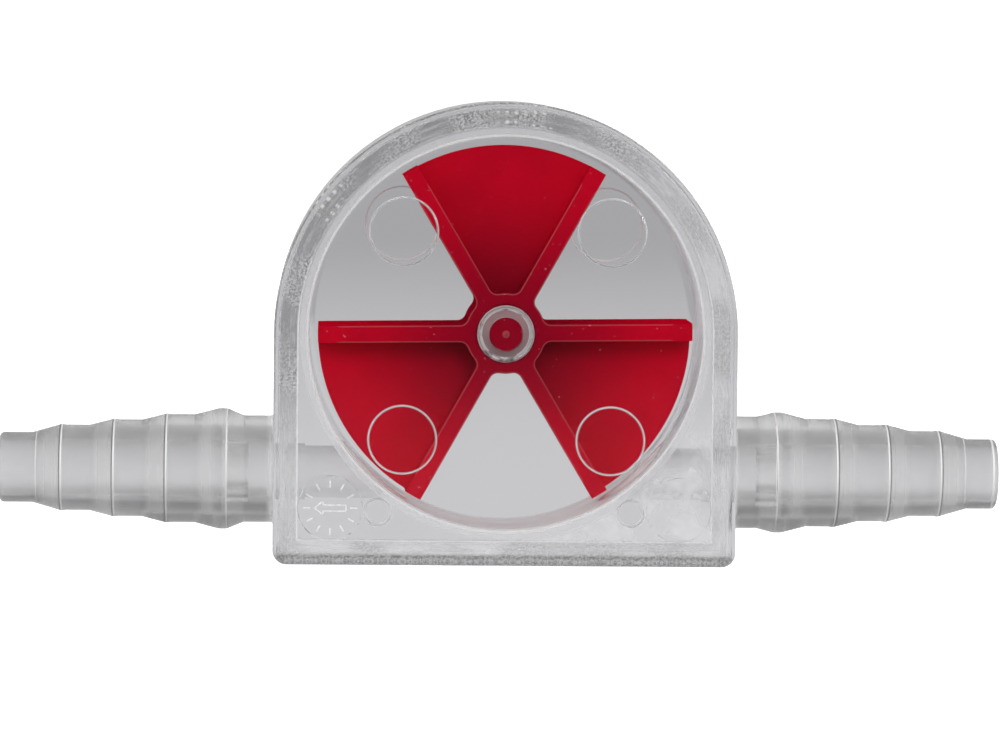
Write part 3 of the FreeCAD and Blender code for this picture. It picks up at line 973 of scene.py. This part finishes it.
def frost_colour(graph, spot, look, weld, chamber, nozzle, white):
    """The frost's colour: grainy grey in the weld, painted shade at some nozzle lines, painted highlight at
    others.
    """
    lighter = spot.across.ramp(*LIGHTER_SIDE).at_least(spot.down.ramp(*LIGHTER_DROP))
    streak_dark = graph.mix(lighter, *(grey(share * look.weld_and_shade_dark) for share in STREAK_GREYS))
    pit = graph.mix(lighter, *(grey(share * look.weld_and_shade_dark) for share in PIT_GREYS))
    pale_streak = graph.mix(lighter, grey(STREAK_PALE), look.frost)
    grains = weld.crinkle.ramp(*CRINKLE_RANGE)
    grain = graph.mix(grains, pit, grey(GRAIN_PALE))
    base_grain_and_shade = graph.mix(grains, grey(BASE_SHADE_PIT * look.weld_and_shade_dark), grey(BASE_PALE))
    smear = graph.mix(weld.streak, streak_dark, pale_streak)
    colour = graph.mix(weld.ledge, look.frost, graph.mix(weld.patch, smear, grain))
    # the base's rim takes darker grains: painted shade with a grain
    colour = graph.mix(weld.base_rim, colour, base_grain_and_shade)
    colour = graph.mix(nozzle.skin, colour, grey(look.nozzle_grey))
    # painted shade: the dark crest lines, the bores' strips and the rings' undersides
    dark = (nozzle.crest_shade_line + nozzle.strip + nozzle.belly_shade).at_most(1.0)
    colour = graph.mix(dark, colour, grey(look.weld_and_shade_dark))
    # pale grey in the ducts and corners, and on the chamber wall as painted light
    pale = (nozzle.duct + chamber.corner + chamber.wall).at_most(1.0)
    colour = graph.mix(pale, colour, grey(look.line_white))
    # white at the painted highlight lines and at the weld's beads
    return graph.mix(white, colour, grey(look.line_white))


def clear_plastic(node, look):
    """Clear moulded plastic with slight ripples, frosted at the weld and marks, painted light at lip,
    bosses and crests.
    """
    material = bpy.data.materials.new(f"{node}_plastic")
    graph = Graph(material)
    spot = Spot(graph)
    weld = weld_masks(graph, spot, look)
    chamber = chamber_masks(graph, spot, look)
    nozzle = nozzle_masks(spot)
    # painted highlights at the crests, the weld's inside, the lip and the bosses, with the weld's own beads
    white = (nozzle.crest + weld.line + chamber.lip_highlight + chamber.boss_highlight + weld.beads).at_most(1.0)
    roughness = look.roughness + weld.frosted * (look.weld_roughness - look.roughness)
    roughness = roughness + chamber.boss * look.boss_roughness
    roughness = roughness + nozzle.nozzle * look.nozzle_roughness + nozzle.bore * look.bore_roughness
    normal = graph.bump(graph.noise(spot.place, **RIPPLE_NOISE), 1.0, look.ripple)
    # only the window's side of the weld is crinkled, as two equal crinkles would cancel out
    crinkled = 1.0 if node == "front_cover" else 0.0
    normal = graph.bump(weld.crinkle * weld.frosted, crinkled, look.weld_crinkle, normal)
    clear = {
        "Base Color": look.tint,
        "Roughness": roughness,
        "IOR": look.ior,
        "Transmission Weight": 1.0,
        "Specular Tint": look.gloss,
        "Normal": normal,
    }
    frosted = {
        "Base Color": frost_colour(graph, spot, look, weld, chamber, nozzle, white),
        "Roughness": FROST_ROUGHNESS,
        "Normal": normal,
    }
    # the frost at the lip, wall, bosses and crest lines is painted light, and the dark lines painted shade
    hazes = (
        (weld.frosted + weld.base_rim, look.weld_haze),
        (white, look.line_haze),
        (chamber.lip_light_band, look.lip_haze),
        (chamber.wall, look.wall_haze),
        (chamber.corner, look.corner_haze),
        (chamber.boss, look.boss_haze),
        (mark_mask(spot, node), look.mark_haze),
        (nozzle.nozzle, look.nozzle_haze),
        (nozzle.cone, look.cone_haze),
        (nozzle.crest_glow, look.glow_haze),
        (nozzle.crest_shade_line, look.dark_haze),
        (nozzle.flat, look.flat_haze),
        (nozzle.duct, look.duct_haze),
        (nozzle.strip + BELLY_SHADE_SHARE * nozzle.belly_shade, look.strip_haze),
    )
    haze = sum(mask * share for mask, share in hazes)
    # light that is caught between two faces ends as an even grey, not as black
    caught = graph.light_path("Ray Depth").ramp(*LAST_BOUNCES)
    plastic = graph.mix_shaders(
        haze.at_least(caught).at_most(1.0),
        graph.node("BsdfPrincipled", None, clear),
        graph.node("BsdfPrincipled", None, frosted),
    )
    open_air = graph.node("BsdfTransparent", None, {"Color": grey(look.shadow_share)})
    graph.finish(graph.mix_shaders(graph.light_path("Is Shadow Ray"), plastic, open_air))
    return material


def rotor_plastic(name, look):
    """Red moulded plastic with faint clouds and specks; its side faces are duller than its front."""
    material = bpy.data.materials.new(name)
    graph = Graph(material)
    place = graph.place()
    parts = graph.parts(place)
    from_axis = distance(parts - AXIS_POINT.x, parts.other("Z") - AXIS_POINT.z) * MM_PER_METRE
    squarely = abs(graph.parts(graph.node("TexCoord", None, None, "Normal")).other("Y"))
    # the faces' rounded edges, which take a painted highlight
    edge = squarely.ramp(*EDGE_START) * (1.0 - squarely.ramp(*EDGE_STOP))
    cloud = graph.noise(place, **CLOUD_NOISE).ramp(*CLOUD_RANGE)
    speck = graph.noise(place, **SPECK_NOISE).ramp(*SPECK_RANGE)
    # deep red towards the hub is painted shade
    colour = graph.mix(from_axis.ramp(*HUB_RANGE), look.deep, look.bright)
    colour = graph.mix(cloud * CLOUD_SHARE, colour, look.deep)
    # pale red: dust specks, and a painted highlight along the edges
    colour = graph.mix((speck * SPECK_SHARE + edge * EDGE_HIGHLIGHT_SHARE).at_most(1.0), colour, look.speck)
    grain = graph.noise(place, **GRAIN_NOISE)
    normal = graph.bump(grain, GRAIN_STRENGTH, GRAIN_HEIGHT)
    dull = {
        "Base Color": colour,
        "Normal": normal,
        "Roughness": SIDE_ROUGHNESS,
        "Specular IOR Level": 0.0,
    }
    shiny = {
        "Base Color": colour,
        "Normal": normal,
        "Roughness": look.roughness + (grain - 0.5) * GRAIN_ROUGHNESS,
        "Specular IOR Level": look.gloss,
    }
    sides = graph.node("BsdfPrincipled", None, dull)
    faces = graph.node("BsdfPrincipled", None, shiny)
    graph.finish(graph.mix_shaders(squarely.ramp(*FRONT_RANGE), sides, faces))
    return material


def dial_frost(name, look):
    """Frosted clear plastic of the dial's raised lines."""
    material = bpy.data.materials.new(name)
    graph = Graph(material)
    wear = graph.noise(graph.place(), **WEAR_NOISE)
    frosted = {"Base Color": grey(DIAL_WHITE), "Roughness": DIAL_ROUGHNESS + WEAR_ROUGHNESS * wear}
    clear = graph.node("BsdfTransparent", None, {"Color": grey(1.0)})
    frost = graph.node("BsdfPrincipled", None, frosted)
    share = (LEAST_HAZE + WORN_HAZE * wear.ramp(*WEAR_RANGE)) * look.haze
    graph.finish(graph.mix_shaders(share.at_most(1.0), clear, frost))
    return material


def add_bar(shape, start, end, width):
    """A raised bar on the dial's floor between two points of the window's plane."""
    along = (end - start).normalized()
    aside = Vector((along.y, -along.x)) * (width / 2)
    outline = (start + aside, end + aside, end - aside, start - aside)
    low = [shape.verts.new((spot.x, DIAL_FLOOR * MM, spot.y)) for spot in outline]
    high = [shape.verts.new((spot.x, DIAL_TOP * MM, spot.y)) for spot in outline]
    shape.faces.new(high)
    shape.faces.new(reversed(low))
    for here in range(len(outline)):
        after = (here + 1) % len(outline)
        shape.faces.new((low[here], low[after], high[after], high[here]))


def build_dial(context, look):
    """Ticks round a circle and an arrow's outline, raised from the floor of the mark."""
    middle = Vector((AXIS_POINT.x + DIAL_SIDE * MM, AXIS_POINT.z - DIAL_DROP * MM))
    mesh = bpy.data.meshes.new("date_dial")
    shape = bmesh.new()
    for tick in range(look.ticks):
        angle = math.tau * tick / look.ticks
        way = Vector((math.cos(angle), math.sin(angle)))
        add_bar(shape, middle + way * look.tick_inner, middle + way * look.tick_outer, look.tick_width)
    neck = look.head_length - look.arrow_half
    arrow = (
        Vector((-look.arrow_half, 0.0)),
        Vector((neck, look.head_half)),
        Vector((neck, look.shaft_half)),
        Vector((look.arrow_half, look.shaft_half)),
        Vector((look.arrow_half, -look.shaft_half)),
        Vector((neck, -look.shaft_half)),
        Vector((neck, -look.head_half)),
    )
    for here, corner in enumerate(arrow):
        add_bar(shape, middle + corner, middle + arrow[(here + 1) % len(arrow)], look.line)
    bmesh.ops.recalc_face_normals(shape, faces=shape.faces)
    shape.to_mesh(mesh)
    shape.free()
    dial = bpy.data.objects.new("date_dial", mesh)
    context.scene.collection.objects.link(dial)
    mesh.materials.append(dial_frost("dial_frost", look))
    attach(dial, "housing")


def floor_sheet(stage):
    """A pale sheet to the camera; the plastic shows a grey studio, lighter close by and darker in front."""
    material = bpy.data.materials.new("floor_sheet")
    graph = Graph(material)
    back = graph.parts(graph.place()).other("Y")
    pale = {
        "Base Color": stage.floor_colour,
        "Roughness": FLOOR_ROUGHNESS,
        "Specular IOR Level": FLOOR_GLOSS,
        "Emission Color": grey(1.0),
        "Emission Strength": stage.floor_glow,
    }
    sheet = graph.node("BsdfPrincipled", None, pale)
    shine = graph.mix(back.ramp(*FAR_FLOOR), grey(stage.near_light), grey(stage.far_light))
    shine = graph.mix((0.0 - back).ramp(*FRONT_FLOOR), shine, grey(stage.front_light))
    studio = graph.node("Emission", None, {"Color": shine, "Strength": 1.0})
    graph.finish(graph.mix_shaders(graph.light_path("Is Camera Ray"), studio, sheet))
    return material


def build_floor(context, stage):
    """A wide round sheet under the object."""
    mesh = bpy.data.meshes.new("floor")
    shape = bmesh.new()
    bmesh.ops.create_circle(shape, cap_ends=True, segments=FLOOR_CORNERS, radius=FLOOR_RADIUS)
    shape.to_mesh(mesh)
    shape.free()
    floor = bpy.data.objects.new("floor", mesh)
    context.scene.collection.objects.link(floor)
    mesh.materials.append(floor_sheet(stage))


def build_world(context, stage):
    """An even grey studio, pale where it is seen as the background."""
    world = bpy.data.worlds.new("studio")
    graph = Graph(world)
    height = graph.parts(graph.node("TexCoord", None, None, "Generated")).other("Z")
    colour = graph.mix(height.ramp(*OVERHEAD), grey(stage.far_light), grey(stage.overhead_light))
    colour = graph.mix(graph.light_path("Is Camera Ray"), colour, grey(BACKDROP))
    light = graph.node("Background", None, {"Color": colour, "Strength": 1.0})
    graph.node("OutputWorld", None, {"Surface": light})
    context.scene.world = world


def build_lights(context):
    """Two tall softboxes at the sides, one in front, one behind and a weak one overhead."""
    for name, (place, size, power, mirrored) in SOFTBOXES.items():
        lamp = bpy.data.lights.new(name, "AREA")
        lamp.shape = "RECTANGLE"
        lamp.size, lamp.size_y = size
        lamp.energy = power
        softbox = bpy.data.objects.new(name, lamp)
        softbox.visible_glossy = mirrored
        softbox.visible_transmission = mirrored
        softbox.location = place
        softbox.rotation_euler = (Vector(LIGHT_AIM) - Vector(place)).to_track_quat("-Z", "Y").to_euler()
        context.scene.collection.objects.link(softbox)


def build_camera(context, stage):
    """The camera at the photograph's viewing angle."""
    camera_data = bpy.data.cameras.new("camera")
    camera_data.sensor_width = SENSOR_WIDTH
    camera_data.lens = stage.focal
    camera_data.clip_start = NEAREST
    camera_data.clip_end = FARTHEST
    camera = bpy.data.objects.new("camera", camera_data)
    aim = Vector((0.0, 0.0, stage.target_height))
    flat = math.cos(stage.rise)
    back = Vector((-math.sin(stage.turn) * flat, -math.cos(stage.turn) * flat, math.sin(stage.rise)))
    facing = (-back).to_track_quat("-Z", "Y").to_matrix().to_4x4()
    lean = Matrix.Rotation(stage.roll, 4, "Z")
    camera.matrix_world = Matrix.Translation(aim + back * stage.distance) @ facing @ lean
    context.scene.collection.objects.link(camera)
    context.scene.camera = camera
    context.scene.view_settings.view_transform = "Standard"


GROUPS = {
    "flow_clear": FlowClearPlastic,
    "flow_rotor": FlowRotorPlastic,
    "flow_dial": FlowDial,
    "flow_stage": FlowStage,
}
STEPS = (
    FLOWIND_OT_clear_plastic,
    FLOWIND_OT_rotor_plastic,
    FLOWIND_OT_date_dial,
    FLOWIND_OT_stage,
)
CLASSES = (*GROUPS.values(), *STEPS, FLOWIND_PT_looks)


def register():
    for item in CLASSES:
        bpy.utils.register_class(item)
    for name, group in GROUPS.items():
        setattr(bpy.types.Scene, name, PointerProperty(type=group))


def unregister():
    for name in GROUPS:
        delattr(bpy.types.Scene, name)
    for item in reversed(CLASSES):
        bpy.utils.unregister_class(item)


def main():
    """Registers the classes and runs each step."""
    register()
    bpy.ops.flowind.clear_plastic()
    bpy.ops.flowind.rotor_plastic()
    bpy.ops.flowind.date_dial()
    bpy.ops.flowind.stage()


if __name__ == "__main__":
    main()
